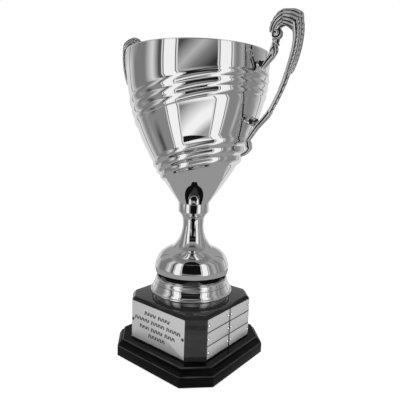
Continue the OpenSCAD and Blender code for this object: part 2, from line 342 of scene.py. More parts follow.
def lacquer(name, dark, light, gloss, coat):
    """Polished black lacquer over a faint wood grain."""
    look = Look(name, Specular_IOR_Level=gloss, Coat_Weight=coat, Coat_Roughness=0.06)
    fibre = look.noise(40, stretch=(1, 1, 6))
    look.colour(fibre, mono(dark), mono(light)).roughness(look.noise(14), 0.12, 0.18)
    return look.bump(fibre, 0.03, 0.0002).material


def satin_plate():
    look = Look("satin_plate", Metallic=0.6)
    hair = look.noise(60, stretch=(1, 1, 60), detail=4)
    look.colour(hair, mono(0.66), mono(0.78)).roughness(hair, 0.3, 0.42)
    return look.bump(hair, 0.08, 0.0001).material


def felt():
    look = Look("green_felt", Roughness=0.95, Sheen_Weight=0.4)
    fibre = look.noise(1600, detail=4)
    look.colour(fibre, (0.01, 0.03, 0.015), (0.03, 0.09, 0.045))
    return look.bump(fibre, 0.6, 0.0004).material


SILVER = plain("silver_plate", 9, (0.9, 0.93), (0.015, 0.03), Metallic=1.0)
# Cast silver, and a dark casting for where the ornament lies low: painted shade in the recesses
CAST = [
    casting("cast_silver", 1.0, 160, 900, (0.7, 0.85), (0.08, 0.14), bump=(0.12, 0.0001)),
    casting("painted_recess_shade", 0.9, 240, 1200, (0.015, 0.06), (0.3, 0.5), bump=(0.3, 0.0002)),
]
BASE_LACQUER = lacquer("base_lacquer", 0.001, 0.003, gloss=0.1, coat=0.02)
# A lighter, glossier lacquer: a painted highlight along the rounded edges of the lower tier
EDGE_HIGHLIGHT_LACQUER = lacquer("lacquer_painted_highlight", 0.01, 0.04, gloss=0.4, coat=0.1)
BLOCK_LACQUER = lacquer("block_lacquer", 0.014, 0.022, gloss=0.5, coat=0.7)
SATIN = satin_plate()
CUT_EDGE = plain("cut_edge", 900, (0.04, 0.1), (0.4, 0.6), Metallic=0.6)
ENGRAVING = plain("engraving_fill", 1500, (0.005, 0.02), (0.5, 0.7), Specular_IOR_Level=0.1)
# White pin heads: a painted highlight in place of the glint on metal domes
PAINTED_HIGHLIGHT_PIN = plain("bright_pin", 500, (0.95, 1), (0.15, 0.25))
# Dark metal for the plaque's pin heads, and for the painted shadow ring under every pin
DARK_PIN = plain("dark_pin", 500, (0.04, 0.12), (0.25, 0.4), Metallic=0.7)
STEEL = plain("zinc_steel", 300, (0.42, 0.6), (0.25, 0.45), stretch=(1, 1, 3), Metallic=1.0)
FELT = felt()


# ---------- spun metal ----------


def spinning(node, curve):
    bm = bmesh.new()
    lathe(bm, shell(curve), box_mm(node)[0].z)
    piece_from(bm, f"{node}_spinning", [SILVER], [node])


def foot_knop_and_stem():
    radius, height, bead = FOOT_BEAD
    foot = spline(FOOT_LOW, 3) + arc((radius, height), bead, -115, 75, 24)
    spinning("foot", foot + spline(FOOT_HIGH, 6) + spline(FOOT_TOP, 6))
    spinning("knop", spline(KNOP, 12))
    spinning("stem", spline(STEM, 12))


def collar():
    lo, hi = box_mm("collar")
    tall = hi.z - lo.z
    low, top = COLLAR_LOW_ROUND, COLLAR_TOP_ROUND
    curve = [(ROD_HOLE, 0), (COLLAR_R - low - COLLAR_FLAT, 0)]
    curve += arc((COLLAR_R - low, low), low, -80, 0, 8)
    curve += arc((COLLAR_R - top, tall - top), top, 0, 80, 8)
    curve += [(COLLAR_R - top - COLLAR_FLAT, tall), (ROD_HOLE, tall)]
    bm = bmesh.new()
    lathe(bm, curve, base=lo.z)
    piece_from(bm, "collar_turning", [SILVER], ["collar"])


# ---------- bowl ----------

TABLE_STEPS = 600
BOWL_TABLE = [bezier(BOWL, k / TABLE_STEPS) for k in range(TABLE_STEPS + 1)]


def bowl_wall(height):
    """(radius, outward slope) of the smooth bowl at a height above its bottom."""
    low, high = 0, len(BOWL_TABLE) - 1
    while high - low > 1:
        middle = (low + high) // 2
        if BOWL_TABLE[middle][1] > height:
            high = middle
        else:
            low = middle
    (r0, z0), (r1, z1) = BOWL_TABLE[low], BOWL_TABLE[high]
    return lerp(r0, r1, (height - z0) / (z1 - z0)), (r1 - r0) / (z1 - z0)


def roll(u):
    """Height, 0 to 1, of rounded ridges that meet in narrow valleys."""
    soft = VALLEY_SOFTNESS
    wave = math.sin(RIDGES * math.pi * u)
    return (math.sqrt(wave * wave + soft * soft) - soft) / (math.sqrt(1 + soft * soft) - soft)


def band_edge(band, edge, turn):
    at, climb = band[edge]
    return at + climb * math.cos(turn)


def outline_part(low, high, steps, ridge_height=0):
    """Part of the bowl's outline, from low to just under high, as [height, how far out a ridge stands]."""
    shares = [k / steps for k in range(steps)]
    return [(lerp(low, high, u), ridge_height * roll(u)) for u in shares]


def bowl_line(turn, top):
    """Outline of the bowl on one side, as [height, how far out a ridge stands]."""
    line = []
    start = 0
    for band in (LOWER_BAND, UPPER_BAND):
        bottom_edge, top_edge = band_edge(band, "bottom", turn), band_edge(band, "top", turn)
        line += outline_part(start, bottom_edge, 12)
        line += outline_part(bottom_edge, top_edge, RIDGES * 14, band["height"])
        start = top_edge
    return line + outline_part(start, top, 12) + [(top, 0)]


def wall_point(height, out):
    """The point that lies out from the smooth wall, square to it."""
    r, slope = bowl_wall(height)
    n = math.hypot(1, slope)
    return r + out / n, height - out * slope / n


def bowl_outline(turn, tall):
    """The bowl's closed outline at one turn, as [radius, height], with as many points as at any other."""
    line = bowl_line(turn, tall - RIM_BEAD)
    rim = bowl_wall(tall - RIM_BEAD)[0]
    outline = [(ROD_HOLE, 0), (BOWL_SEAT_R, 0)]
    outline += [wall_point(h, out) for h, out in line]
    outline += arc((rim - RIM_BEAD_INSET, tall - RIM_BEAD), RIM_BEAD, -20, 200, BEAD_STEPS)
    full_count = len(outline) + len(line)
    inside = [wall_point(h, out * PRESSED_THROUGH - WALL) for h, out in line]
    floor_edge = BOWL_FLOOR + FLOOR_ROUND
    outline += [p for p in inside[::-1] if p[1] > floor_edge]
    floor_r = bowl_wall(floor_edge)[0] - WALL
    outline += [(floor_r - FLOOR_CORNER, BOWL_FLOOR + FLOOR_CORNER)] * (full_count - len(outline))
    return outline + [(floor_r - FLOOR_FLAT, BOWL_FLOOR), (ROD_HOLE, BOWL_FLOOR)]


def bowl():
    lo, hi = box_mm("bowl")
    bm = bmesh.new()
    columns = []
    for turn in circle(288):
        outline = bowl_outline(turn, hi.z - lo.z)
        columns.append([bm.verts.new((r * math.cos(turn), r * math.sin(turn), z + lo.z)) for r, z in outline])
    grid(bm, columns, close_rows=True, close_cols=True)
    bmesh.ops.dissolve_degenerate(bm, dist=1e-5, edges=bm.edges)
    piece_from(bm, "bowl_spinning", [SILVER], ["bowl"])


def x_turning(bm, x_from, outline, z, way):
    """A turned boss whose axis is along X. outline is [distance out, radius]."""
    rows = []
    for out, r in outline:
        x = way * (x_from + out)
        rows.append([bm.verts.new((x, r * math.cos(a), z + r * math.sin(a))) for a in circle(40)])
    capped(bm, rows)


# ---------- handles ----------

UPPER_MOUNT = {"height": 463.6, "pad": 108.2, "pad_end": 112.3, "boss_end": 122.4}
LOWER_MOUNT = {"height": 384.3, "pad": 93.4, "pad_end": 101.2, "boss_end": 112.6}
PAD_R = 5.2
PAD_BEVELS = (0.3, 0.7)  # next to the bowl, and next to the boss
BOSS_R = 4.4
# A boss between handle and pad: [distance in from its pad, radius], then the same from its far end
BOSS_NEAR = [(0, BOSS_R), (0.5, BOSS_R), (1.2, BOSS_R - 0.9)]
BOSS_FAR = [(2, BOSS_R - 1.1), (0, BOSS_R - 0.6)]
RELIEF = 2.1  # how deep the ornament is cut
SLIM = 4  # the relief gets shallower where the casting's half width is less than this
DARK_BELOW = 0.56  # ornament lower than this takes the dark material: painted shade in the recesses
ROPE_LOW = 0.4  # height left in the cuts of a rope
# How far the outer edge is moved out, to make up for the rounding of the section, and the inner edge's share
SWELL = {"fan": 2.8, "arm": 1.4, "lower": 1.7, "scroll": 1.5}
INNER_SWELL = 0.4
BOXY = 3  # exponent of a casting's rounded section: 2 is an ellipse, and more is boxier
SECTION_STEPS = 80

# Ornament, placed from 0 at the inner edge to 1 at the outer one. ridges: [middle, half width, height],
# ropes: [middle, half width, pitch], flutes: [low, high, count]
FAN = {"ropes": [(0.86, 0.16, 5.2)], "flutes": [(0.08, 0.72, 4)]}
CREST = {"ridges": [(1, 0.1, 1)], "flutes": [(0.04, 0.92, 6)]}
UPPER_ARM = {
    "ridges": [(0, 0.1, 0.8), (0.32, 0.18, 1), (0.77, 0.07, 1)],
    "ropes": [(0.6, 0.1, 5.4), (1, 0.16, 5.4)],
}
LOWER_ARM = {"ridges": [(0, 0.14, 0.8), (0.44, 0.25, 1)], "ropes": [(1, 0.26, 8.9)]}
RAILS = {"ridges": [(0.3, 0.17, 1), (0.72, 0.19, 1), (1, 0.1, 0.9)]}

# Outline of the arm, as pairs of [x, z] on its inner and outer edge
ARM = [
    ((136.4, 503), (128.4, 503)), ((139, 506.5), (128.9, 510.5)), ((140.6, 508.4), (131.7, 516.8)),
    ((142.6, 509.3), (135.5, 521.9)), ((144.8, 509.6), (140.8, 526.4)), ((146.8, 509.3), (147, 529)),
    ((149.7, 507.9), (155.4, 528)), ((152.6, 506.2), (161, 526.9)), ((155.6, 504), (166.4, 524.4)),
    ((158, 501.8), (171.6, 520.6)), ((159.9, 499), (172.2, 515)), ((161, 495.2), (173.2, 507)),
    ((161.6, 489.5), (173.4, 498)), ((161.2, 482.5), (172.6, 488)), ((160.1, 475.5), (171, 477.6)),
    ((158.4, 468.5), (168.4, 467.6)), ((156.2, 461), (165.4, 458.4)), ((154, 452.5), (161.7, 450.4)),
    ((152, 446.4), (157.4, 446)), ((149.8, 440), (154.8, 438.2)), ((147, 432.5), (151.6, 430.8)),
    ((143.3, 423.2), (147.4, 421.5)), ((138.6, 414.1), (142.8, 412.4)), ((133.1, 404.2), (137.4, 402.6)),
    ((128.9, 398.2), (133.8, 396.2)), ((124.2, 392.8), (129.4, 390)), ((117.6, 385.8), (122.4, 383)),
    ((110.9, 379.4), (115.6, 376.4)), ((106.6, 373.6), (110.8, 371)), ((102.6, 368), (106.6, 365.4)),
    ((98.6, 362), (102, 359.8)), ((96.6, 358.6), (100, 356.6)),
]  # fmt: skip
CORNER_ONE, CORNER_TWO, NOTCH, BUMP = 5, 9, 18, 24  # where the ornament changes, counted in pairs
ARM_ZONES = [(CORNER_ONE, FAN), (CORNER_TWO, CREST), (NOTCH, UPPER_ARM), (BUMP, LOWER_ARM)]  # [up to, kind]

SCROLL = [
    ((96.6, 358.4), (100.4, 357.4)), ((95, 353.6), (102.8, 354)), ((95.2, 349), (104.3, 350)),
    ((98.6, 345.6), (103.8, 345.2)), ((97.2, 342.6), (99.6, 340.6)), ((92.8, 339.6), (94.2, 336.8)),
    ((88.6, 336.8), (88.8, 334.4)),
]  # fmt: skip

# The short leg, as [x, z, half width]
LEG = [
    (117.2, 457, 1.6), (120.8, 461.5, 3), (126, 467.5, 3.9), (131, 473.2, 5), (133.2, 480, 6),
    (134.4, 486, 4.2), (135.6, 492, 3), (135.4, 497, 3.4),
]  # fmt: skip
BUD_FROM, BUD_TO = 3, 5
BUD_LINES, BUD_SLANT = 1.7, 1.1
LEG_DEPTH = 4.8
ROSETTE = {"x": 136.6, "z": 499.6, "radius": 8, "deep": 7.4}
SPIRAL_PITCH = 4.2
SPIRAL_CUT = 1.5
# Spiral groove lower than this takes the dark material: painted shade in the groove
SPIRAL_DARK_BELOW = 0.8
KNOT = {"x": 135.1, "z": 489.6, "size": 4.3}
KNOT_TIP_R = 0.05
# Its two bands: radius, and how much thinner their ends are; how far they stand out and reach, against the
# knot's size; how much they fall back towards their ends; how far each is moved where they cross
BAND_R, BAND_TAPER = 1.5, 0.4
BAND_OUT, BAND_REACH = 1.05, 0.95
BAND_BOW = 0.7
BAND_APART = 0.35
CREST_DEPTH = 7.4
# Half depth of the arm at each height
DEPTHS = [(330, 3.6), (375, 3.8), (396, 4.8), (447, 5.8), (470, 6.6), (496, CREST_DEPTH), (540, CREST_DEPTH)]
# Leaves at the lower mount, as [x, z, turn in degrees]
LEAVES = [(103.8, 388.2, 150), (108.6, 386.4, 20), (106, 380.2, 200), (111.6, 382.4, -35), (107.2, 383.6, 90)]
LEAF_LENGTH, LEAF_R = 7.4, 3.0
LEAF_FULLNESS = 0.75  # exponent of its outline: less is fuller towards its ends
LEAF_END, LEAF_BASE, LEAF_NARROWING = 0.03, 1.15, 0.3  # shares of its radius
LEAF_CREASE = 0.14
LEAF_DEPTH = 1.05


def depth_at(z):
    for (z0, d0), (z1, d1) in zip(DEPTHS, DEPTHS[1:]):
        if z <= z1:
            return lerp(d0, d1, (z - z0) / (z1 - z0))
    return DEPTHS[-1][1]


def ridge(distance, half):
    """Height, 0 to 1, of a round ridge."""
    return max(0.0, 1 - (distance / half) ** 2) ** 0.5


def rope(along, across, middle, half, pitch):
    """A ridge cut by slanting grooves."""
    twist = abs(math.sin(math.pi * (along / pitch + 0.5 * (across - middle) / half)))
    return ridge(across - middle, half) * (ROPE_LOW + (1 - ROPE_LOW) * twist**0.7)


def flutes(across, low, high, count):
    if not low <= across <= high:
        return 0
    return abs(math.sin(math.pi * count * (across - low) / (high - low))) ** 0.6


def ornament(kind, along, across):
    """Height, 0 to 1, of what stands highest at a place."""
    heights = [0]
    heights += [height * ridge(across - middle, half) for middle, half, height in kind.get("ridges", ())]
    heights += [rope(along, across, *each) for each in kind.get("ropes", ())]
    heights += [flutes(across, *each) for each in kind.get("flutes", ())]
    return max(heights)


# Heights of the ornament, 0 to 1, for cast_strip: t counts pairs from the start, along is in millimetres,
# and across is 0 on the inner edge and 1 on the outer one.


def arm_height(t, along, across):
    for last, kind in ARM_ZONES:
        if t < last:
            return ornament(kind, along, across)
    return ornament(RAILS, along, across)


def rails(t, along, across):
    return ornament(RAILS, along, across)


def leg_height(t, along, across):
    """Nested leaf lines on the bud, rails on the rest."""
    if BUD_FROM <= t < BUD_TO:
        reach = (t - BUD_FROM) / (BUD_TO - BUD_FROM)
        spread = 2 * abs(across - 0.5)
        return abs(math.sin(math.pi * (BUD_LINES * spread + BUD_SLANT * reach))) ** 0.7
    return rails(t, along, across)


def section_point(a, half, depth):
    """[across, out, normal across, normal out] on a rounded section, at an angle from its inner edge."""
    c, q = -math.cos(a), math.sin(a)
    u = math.copysign(abs(c) ** (2 / BOXY), c) * half
    y = abs(q) ** (2 / BOXY) * depth
    nu = math.copysign((abs(u) / half) ** (BOXY - 1) / half, c)
    ny = (y / depth) ** (BOXY - 1) / depth
    n = math.hypot(nu, ny)
    return u, y, nu / n, ny / n


def section(half, depth, lanes):
    """Evenly spaced section points all round, each with its share of the way to the far edge."""
    fine = [section_point(math.pi * k / SECTION_STEPS, half, depth) for k in range(SECTION_STEPS + 1)]
    lengths = [0.0]
    for before, here in zip(fine, fine[1:]):
        lengths.append(lengths[-1] + math.dist(before[:2], here[:2]))
    front, k = [], 0
    for j in range(lanes + 1):
        w = j / lanes
        at = w * lengths[-1]
        while k < len(fine) - 2 and lengths[k + 1] < at:
            k += 1
        share = (at - lengths[k]) / (lengths[k + 1] - lengths[k])
        front.append((*(lerp(a, b, share) for a, b in zip(fine[k], fine[k + 1])), w))
    back = [(u, -y, nu, -ny, w) for u, y, nu, ny, w in front[-2:0:-1]]
    return front + back


def cast_strip(bm, pairs, way, height, depth=depth_at, steps=14, lanes=44):
    """A casting with a rounded section between two edges, and the same ornament on its front and back.

    Faces that lie low take the dark material: painted shade in the recesses."""
    flat = spline([(*a, *b) for a, b in pairs], steps)
    along = 0.0
    before = None
    rows, heights = [], []
    for i, (xa, za, xb, zb) in enumerate(flat):
        middle = ((xa + xb) / 2, (za + zb) / 2)
        if before:
            along += math.dist(middle, before)
        before = middle
        half = math.hypot(xb - xa, zb - za) / 2
        ux, uz = (xb - xa) / 2 / half, (zb - za) / 2 / half
        row, high = [], []
        for u, y, nu, ny, w in section(half, depth(middle[1]), lanes):
            up = height(i / steps, along, w)
            cut = RELIEF * (1 - up) * min(1, half / SLIM)
            u, y = u - cut * nu, y - cut * ny
            row.append(bm.verts.new((way * (middle[0] + ux * u), -y, middle[1] + uz * u)))
            high.append(up)
        rows.append(row)
        heights.append(high)

    def dark(i, j):
        k = (j + 1) % len(rows[0])
        corners = (heights[i][j] + heights[i][k] + heights[i + 1][j] + heights[i + 1][k]) / 4
        return 1 if corners < DARK_BELOW else 0

    capped(bm, rows, dark)


def swollen(pairs, swell):
    """The pairs moved apart, mostly on their outer side. swell(number) is in millimetres."""
    out = []
    for k, ((xa, za), (xb, zb)) in enumerate(pairs):
        n = math.hypot(xb - xa, zb - za) / swell(k)
        dx, dz = (xb - xa) / n, (zb - za) / n
        out.append(((xa - dx * INNER_SWELL, za - dz * INNER_SWELL), (xb + dx, zb + dz)))
    return out


def ribbon(path):
    """Pairs of edge points from a centre line with half widths."""
    left, right = [], []
    for i, (x, z, half) in enumerate(path):
        a, b = path[max(i - 1, 0)], path[min(i + 1, len(path) - 1)]
        dx, dz = b[0] - a[0], b[1] - a[1]
        n = math.hypot(dx, dz)
        left.append((x - dz / n * half, z + dx / n * half))
        right.append((x + dz / n * half, z - dx / n * half))
    return list(zip(left, right))


def rosette(bm, way):
    """A round boss with a spiral groove that starts from the middle of each face."""
    x0, z0, radius, deep = ROSETTE.values()
    rings = 26
    for face in (-1, 1):
        rows, heights = [], []
        for i in range(rings + 1):
            tilt = math.pi / 2 * i / rings
            row, high = [], []
            for a in circle(72):
                turn = (radius * i / rings / SPIRAL_PITCH - a / (2 * math.pi)) % 1
                up = ridge(turn - 0.5, 0.5) if i < rings else SPIRAL_DARK_BELOW
                r = radius * math.sin(tilt) - SPIRAL_CUT * (1 - up) * math.sin(tilt)
                y = deep * math.cos(tilt) - SPIRAL_CUT * (1 - up) * math.cos(tilt)
                row.append(bm.verts.new((way * (x0 + r * math.cos(a)), face * y, z0 + r * math.sin(a))))
                high.append(up)
            rows.append(row)
            heights.append(high)

        # The groove's faces take the dark material: painted shade in the groove
        def dark(i, j):
            return 1 if heights[i][j] < SPIRAL_DARK_BELOW and i > 1 else 0

        grid(bm, rows, close_cols=True, material=dark)


def tube(bm, points, radii, way, sides=10):
    """A tapering rod through points of [x, y, z]."""
    path = [Vector(p) for p in points]
    rows = []
    for i, p in enumerate(path):
        along = (path[min(i + 1, len(path) - 1)] - path[max(i - 1, 0)]).normalized()
        side = along.cross(Vector((0, 0, 1)) if abs(along.z) < 0.9 else Vector((1, 0, 0))).normalized()
        up = side.cross(along)
        ring = [p + (side * math.cos(a) + up * math.sin(a)) * radii[i] for a in circle(sides)]
        rows.append([bm.verts.new((way * q.x, q.y, q.z)) for q in ring])
    capped(bm, rows)


def knot(bm, way):
    """Two bands that cross over a swelling in the dark material, painted shade, on the front and on the back.
    """
    x0, z0, size = KNOT.values()
    for face in (-1, 1):
        for slant in (-1, 1):
            points, radii = [], []
            for k in range(9):
                u = k / 4 - 1
                y = face * (size * BAND_OUT * math.sqrt(1 - BAND_BOW * u * u) + BAND_APART * slant)
                points.append((x0 + slant * u * size * BAND_REACH, y, z0 + u * size * BAND_REACH))
                radii.append(BAND_R * (1 - BAND_TAPER * u * u))
            tube(bm, points, radii, way)
    # The swelling is all in the dark material: painted shade under the crossing bands
    rows = []
    for i in range(13):
        a = math.pi * (i / 12 - 0.5)
        r, z = max(size * math.cos(a), KNOT_TIP_R), z0 + size * math.sin(a)
        rows.append([bm.verts.new((way * (x0 + r * math.cos(b)), r * math.sin(b), z)) for b in circle(24)])
    capped(bm, rows, lambda i, j: 1)


def leaf(bm, x0, z0, turn, way):
    """A pointed leaf with a ridge down its middle, lying in the handle's plane."""
    a = math.radians(turn)
    rows = []
    for i in range(13):
        u = i / 12
        r = LEAF_R * max(math.sin(math.pi * u) ** LEAF_FULLNESS, LEAF_END) * (LEAF_BASE - LEAF_NARROWING * u)
        row = []
        for b in circle(20):
            crease = 1 + LEAF_CREASE * math.cos(4 * b)
            px, py = (u - 0.5) * LEAF_LENGTH, r * crease * math.cos(b)
            x = x0 + px * math.cos(a) - py * math.sin(a)
            z = z0 + px * math.sin(a) + py * math.cos(a)
            row.append(bm.verts.new((way * x, LEAF_DEPTH * r * crease * math.sin(b), z)))
        rows.append(row)
    capped(bm, rows)


def handle(side, way):
    """The flat casting with its ornament, and the leaves and bosses that meet the bowl."""
    bm = bmesh.new()
    arm = swollen(ARM, lambda k: SWELL["fan" if k < CORNER_ONE else "arm" if k < NOTCH else "lower"])
    cast_strip(bm, arm, way, arm_height)
    cast_strip(bm, swollen(SCROLL, lambda k: SWELL["scroll"]), way, rails, lanes=16)
    cast_strip(bm, ribbon(LEG), way, leg_height, depth=lambda z: LEG_DEPTH, lanes=24)
    rosette(bm, way)
    knot(bm, way)
    piece_from(bm, f"handle_{side}_casting", CAST, [f"handle_{side}"], sharp=50)
    bm = bmesh.new()
    for x, z, turn in LEAVES:
        leaf(bm, x, z, turn, way)
    piece_from(bm, f"handle_{side}_leaves", [CAST[0]])
    for name, mount in (("upper", UPPER_MOUNT), ("lower", LOWER_MOUNT)):
        bm = bmesh.new()
        reach = mount["boss_end"] - mount["pad_end"]
        waist = BOSS_NEAR + [(reach - back, r) for back, r in BOSS_FAR]
        x_turning(bm, mount["pad_end"], waist, mount["height"], way)
        # The boss is all in the dark material: painted shade where the handle meets the bowl
        piece_from(bm, f"handle_{side}_{name}_boss", [CAST[1]])
        bm = bmesh.new()
        deep = mount["pad_end"] - mount["pad"]
        near, far = PAD_BEVELS
        pad = [(0, PAD_R - near), (near, PAD_R), (deep - far, PAD_R), (deep, PAD_R - far)]
        x_turning(bm, mount["pad"], pad, mount["height"], way)
        piece_from(bm, f"bowl_{side}_{name}_pad", [SILVER])


# ---------- plinth ----------


def octagon(half, cut, inset, z):
    """Corner points of an eight-sided outline, each corner rounded a little."""
    h = half - inset
    e = h - (cut - (2 - math.sqrt(2)) * inset)
    corners = [Vector(xy) for xy in ((h, -e), (h, e), (e, h), (-e, h), (-h, e), (-h, -e), (-e, -h), (e, -h))]
    points = []
    for k, here in enumerate(corners):
        before = (corners[k - 1] - here).normalized() * CORNER_ROUND
        after = (corners[(k + 1) % 8] - here).normalized() * CORNER_ROUND
        for s in (step / CORNER_STEPS for step in range(CORNER_STEPS + 1)):
            p = here + before * (1 - s) ** 2 + after * s**2
            points.append((p.x, p.y, z))
    return points


def moulding(bm, half, cut, profile, base, highlight_rows=()):
    """An eight-sided block whose sides follow a profile of [inset, height]. The rows named in the last
    argument take the second material, a painted highlight.
    """
    rows = [[bm.verts.new(p) for p in octagon(half, cut, inset, base + z)] for inset, z in profile]
    capped(bm, rows, lambda i, j: 1 if i in highlight_rows else 0)


def plinth_base():
    lo, hi = box_mm("plinth_base")
    tall = hi.z - lo.z
    foot_edge = [(0.8, 0), (0.23, 0.23), (0, 0.8)]
    ledge = [(0, 15.9), (0.15, 16.2), (1.3, 16.8), (1.6, 16.95)]
    cove = arc((7.6, 16.9), 6, 180, 90, 12)
    rim = [(7.6, tall - 1.6), (7.7, tall - 1.3), (8.7, tall - 0.2), (9.0, tall)]
    profile = foot_edge + ledge + cove + rim
    # The ledge and the top rim take the lighter lacquer: a painted highlight on their rounded edges
    ledge_rows = range(len(foot_edge), len(foot_edge) + len(ledge) - 1)
    rim_rows = range(len(profile) - len(rim), len(profile) - 1)
    bm = bmesh.new()
    moulding(bm, hi.x, BASE_CUT, profile, lo.z, highlight_rows=(*ledge_rows, *rim_rows))
    materials = [BASE_LACQUER, EDGE_HIGHLIGHT_LACQUER]
    piece_from(bm, "plinth_lower_tier", materials, ["plinth_base"], sharp=25)


def plinth_block():
    lo, hi = box_mm("plinth_block")
    tall = hi.z - lo.z
    bevel = BLOCK_BEVEL
    profile = [(0, 0), (0, tall - bevel - 0.4), (0.12, tall - bevel + 0.05), (0.4, tall - bevel + 0.4)]
    profile += [(bevel - 0.5, tall - 0.45), (bevel - 0.1, tall - 0.12), (bevel + 0.5, tall)]
    bm = bmesh.new()
    moulding(bm, hi.x, BLOCK_CUT, profile, lo.z)
    piece_from(bm, "plinth_upper_block", [BLOCK_LACQUER], ["plinth_block"], sharp=25)


# ---------- plaque, record plates and pins ----------


def face_frame(side):
    """Turns points drawn on the -Y face, as (across, out, up), onto a side of the plinth."""
    turn = Matrix.Rotation(math.radians(SIDES[side]), 3, "Z")
    return lambda across, out, up: turn @ Vector((across, -out, up))


def plate_place(node, side):
    """(left, right, low, high, inner face, outer face) of a plate, seen from its own side."""
    lo, hi = box_mm(node)
    back = Matrix.Rotation(-math.radians(SIDES[side]), 3, "Z")
    a, b = back @ lo, back @ hi
    return min(a.x, b.x), max(a.x, b.x), lo.z, hi.z, min(-a.y, -b.y), max(-a.y, -b.y)


def sheet_ring(bm, place, inset, out, put):
    """A rounded rectangle just inside a plate's edge."""
    inset += PLATE_CORNER
    left, right, low, high = place[0] + inset, place[1] - inset, place[2] + inset, place[3] - inset
    ring = []
    for k, centre in enumerate(((right, high), (left, high), (left, low), (right, low))):
        ring += [bm.verts.new(put(x, out, z)) for x, z in arc(centre, PLATE_CORNER, 90 * k, 90 * k + 90, 4)]
    return ring


def plate(name, node, side, trim=0.0):
    left, right, *rest = plate_place(node, side)
    place = (left + trim, right - trim, *rest)
    put = face_frame(side)
    inner, outer = place[4], place[5]
    bm = bmesh.new()
    steps = [(PLATE_EDGE[0][0], inner)] + [(inset, outer - depth) for inset, depth in PLATE_EDGE]
    rows = [sheet_ring(bm, place, inset, out, put) for inset, out in steps]
    capped(bm, rows, lambda i, j: 1 if i == 0 else 0)
    piece_from(bm, name, [SATIN, CUT_EDGE], [node])


def add_pin(bm, across, up, face, put):
    """A domed head that stands on a thin dark ring of painted shadow."""
    dome = [(PIN_DOME * math.sin(a), PIN_R * math.cos(a)) for a in map(math.radians, (0, 20, 40, 60, 78))]
    for outline, number in ((PIN_SHADOW_RING, 1), (dome, 0)):
        rows = []
        for out, r in outline:
            places = (put(across + r * math.cos(a), face + out, up + r * math.sin(a)) for a in circle(20))
            rows.append([bm.verts.new(place) for place in places])
        grid(bm, rows, close_cols=True, material=lambda i, j: number)
        for ring in (rows[0], rows[-1]):
            bm.faces.new(ring).material_index = number


def pins(name, nodes, side, material, replaced):
    put = face_frame(side)
    bm = bmesh.new()
    for node in nodes:
        left, right, low, high, _, face = plate_place(node, side)
        for across in (left + PIN_INSET, right - PIN_INSET):
            add_pin(bm, across, (low + high) / 2, face, put)
    piece_from(bm, name, [material, DARK_PIN], [replaced])


# Engraved lines on the plaque: share of the plaque's height from its top, then how many strokes each word has
ENGRAVED = [(0.22, (7, 7)), (0.41, (9, 8, 8)), (0.6, (6, 7, 6)), (0.78, (10,))]
STROKE = {"pitch": 3.65, "gap": 4.0, "wide": 2.1, "tall": 5.4, "lean": 0.7, "proud": 0.04}
FIRST_TALLER = 1.25  # the first stroke of a word against the others


def engraved_lines():
    """Rows of leaning strokes, grouped like words, in place of an inscription."""
    left, right, low, high, _, face = plate_place("plaque", "front")
    put = face_frame("front")
    bm = bmesh.new()
    for share, words in ENGRAVED:
        up = high - share * (high - low)
        total = sum(words) * STROKE["pitch"] + (len(words) - 1) * STROKE["gap"]
        across = (left + right) / 2 - total / 2
        for count in words:
            for k in range(count):
                tall = STROKE["tall"] * (FIRST_TALLER if k == 0 else 1)
                stroke(bm, across + (k + 0.5) * STROKE["pitch"], up, tall, (-1) ** k, face, put)
            across += count * STROKE["pitch"] + STROKE["gap"]
    piece_from(bm, "plaque_engraving", [ENGRAVING])


def stroke(bm, across, up, tall, way, face, put):
    """One leaning bar, rooted in the plaque."""
    half, lean, top = STROKE["wide"] / 2, way * STROKE["lean"], tall / 2
    corners = ((-half - lean, -top), (half - lean, -top), (half + lean, top), (lean - half, top))
    rows = []
    for out in (face - ROOT_DEPTH, face + STROKE["proud"]):
        rows.append([bm.verts.new(put(across + dx, out, up + dz)) for dx, dz in corners])
    capped(bm, rows)


# ---------- studio ----------


SILVER_REFLECTS = 0.9


def grey(level):
    """Light that shows as this 8-bit grey."""
    return (level / 255) ** 2.2


def silvered(level):
    """Light that shows as this 8-bit grey once the silver has reflected it."""
    return grey(level) / SILVER_REFLECTS


